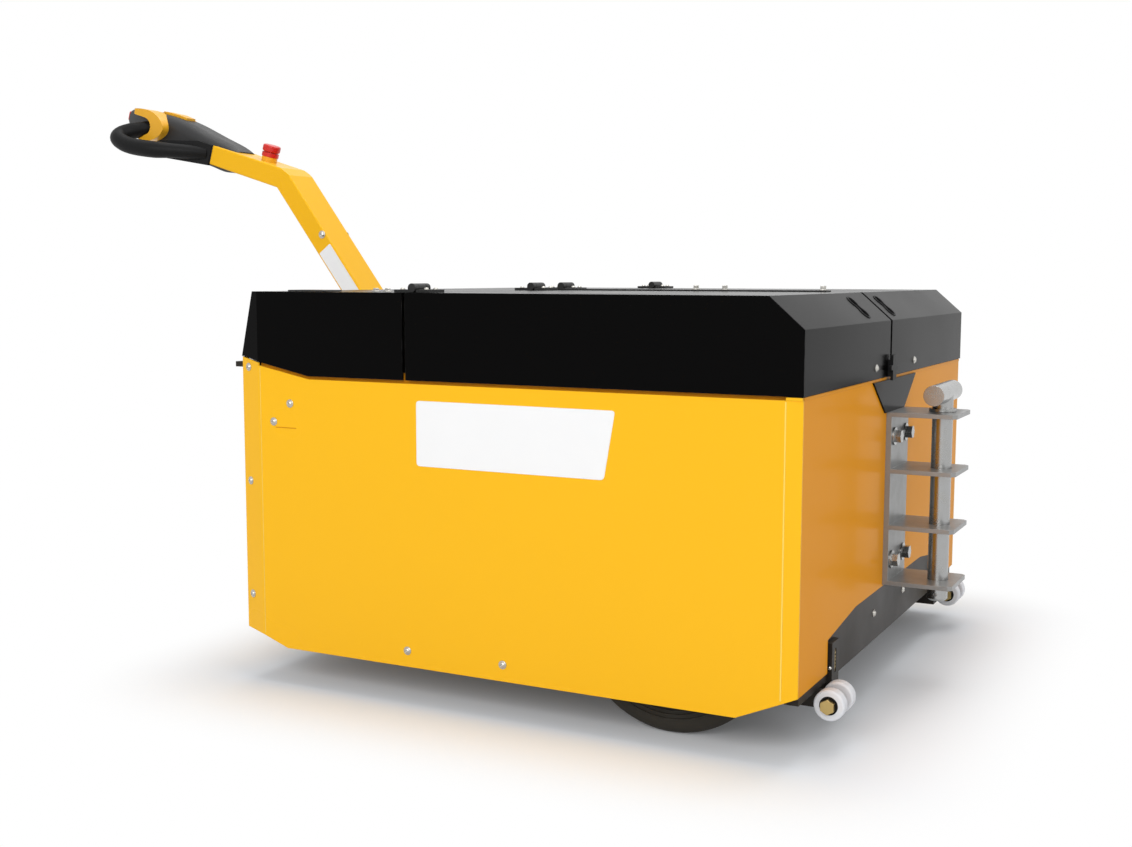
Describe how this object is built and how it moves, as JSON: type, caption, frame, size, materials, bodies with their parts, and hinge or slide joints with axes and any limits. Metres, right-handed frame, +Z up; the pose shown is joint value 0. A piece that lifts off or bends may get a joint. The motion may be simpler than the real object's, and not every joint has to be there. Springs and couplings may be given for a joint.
{
  "type": "pedestrian electric tow tractor",
  "caption": "Low boxy pedestrian electric tug with lift-up lids, a pin hitch with stacked jaws at one end and a cranked tiller with a loop handle at the other.",
  "frame": {"origin": "on the floor, midway along the whole length and on the centreline", "axes": "+X towards the hitch, -X towards the tiller, +Z up, Y across"},
  "size_m": [2.0408, 1.154, 1.1793],
  "materials": {
    "yellow_paint": "semi-gloss",
    "black_cover": "gloss",
    "black_steel": "satin",
    "zinc": "zinc plated",
    "steel": "machined",
    "casting": "painted",
    "battery": "matte, lead cells inside",
    "tyre": "matte",
    "nylon": "satin",
    "head_plastic": "grained",
    "handle_rubber": "satin",
    "yellow_plastic": "semi-gloss",
    "red_plastic": "semi-gloss",
    "hinge_plastic": "satin"
  },
  "bodies": {
    "chassis": {"hitch_end_plate": "black_steel", "chassis_tub": "black_steel", "drive_bridge": "black_steel", "slew_ring": "steel", "top_rail_left": "yellow_paint", "top_rail_right": "yellow_paint", "battery_block": "battery", "rear_axle": "black_steel", "side_panel_left": "yellow_paint", "side_panel_right": "yellow_paint", "hitch_end_panel": "yellow_paint", "tiller_end_panel": "yellow_paint", "front_cover": "black_cover", "hinge_fixed_leaves": "hinge_plastic", "latch_tongue": "black_cover", "hitch_bracket": "zinc", "hitch_bolts": "zinc", "roller_bracket_left": "black_steel", "roller_bracket_right": "black_steel", "roller_bolt_left": "zinc", "roller_bolt_right": "zinc", "tiller_shelf": "black_steel"},
    "lid_left": {"lid_left": "black_cover", "hinge_leaves_left": "hinge_plastic", "rubber_latch": "handle_rubber"},
    "lid_right": {"lid_right": "black_cover", "hinge_leaves_right": "hinge_plastic", "seam_strip": "black_steel"},
    "hitch_pin": {"hitch_pin": "zinc"},
    "rear_wheel_left": {"rear_tyre_left": "tyre", "rear_hub_left": "casting"},
    "rear_wheel_right": {"rear_tyre_right": "tyre", "rear_hub_right": "casting"},
    "steer_unit": {"steer_turntable": "steel", "drive_gearbox": "casting", "drive_motor": "casting"},
    "drive_wheel": {"drive_tyre": "tyre", "drive_hub": "casting"},
    "tiller": {"tiller_socket": "black_steel", "tiller_arm": "yellow_paint", "tiller_head": "head_plastic", "throttle_paddles": "yellow_plastic", "head_rocker": "yellow_plastic", "belly_button": "red_plastic", "loop_handle": "handle_rubber", "stop_collar": "yellow_plastic", "stop_button": "red_plastic"},
    "roller_left": {"roller_discs_left": "nylon"},
    "roller_right": {"roller_discs_right": "nylon"}
  },
  "joints": [
    {"name": "lid_left_hinge", "type": "hinge", "parent": "chassis", "child": "lid_left", "pos_m": [0.16544, 0, 0.75], "axis": [0, -1, 0], "range_deg": [0, 85]},
    {"name": "lid_right_hinge", "type": "hinge", "parent": "chassis", "child": "lid_right", "pos_m": [0.16544, 0, 0.75], "axis": [0, -1, 0], "range_deg": [0, 85]},
    {"name": "tiller_yaw", "type": "hinge", "parent": "chassis", "child": "tiller", "pos_m": [-0.29756, 0, 0.62], "axis": [0, 0, 1], "range_deg": [-65, 65]},
    {"name": "steer_yaw", "type": "hinge", "parent": "chassis", "child": "steer_unit", "pos_m": [-0.01256, 0, 0.294], "axis": [0, 0, 1], "range_deg": [-65, 65]},
    {"name": "drive_spin", "type": "hinge", "parent": "steer_unit", "child": "drive_wheel", "pos_m": [-0.01256, 0, 0.127], "axis": [0, 1, 0], "continuous": true},
    {"name": "pin_lift", "type": "slide", "parent": "chassis", "child": "hitch_pin", "axis": [0, 0, 1], "range_m": [0, 0.361]},
    {"name": "rear_spin_left", "type": "hinge", "parent": "chassis", "child": "rear_wheel_left", "pos_m": [0.64644, -0.45, 0.18], "axis": [0, 1, 0], "continuous": true},
    {"name": "roller_spin_left", "type": "hinge", "parent": "chassis", "child": "roller_left", "pos_m": [0.91544, -0.444, 0.081], "axis": [0, 1, 0], "continuous": true},
    {"name": "rear_spin_right", "type": "hinge", "parent": "chassis", "child": "rear_wheel_right", "pos_m": [0.64644, 0.45, 0.18], "axis": [0, 1, 0], "continuous": true},
    {"name": "roller_spin_right", "type": "hinge", "parent": "chassis", "child": "roller_right", "pos_m": [0.91544, 0.444, 0.081], "axis": [0, 1, 0], "continuous": true}
  ],
  "couplings": [
    {"joint": "steer_yaw", "follows": "tiller_yaw", "ratio": 1}
  ]
}
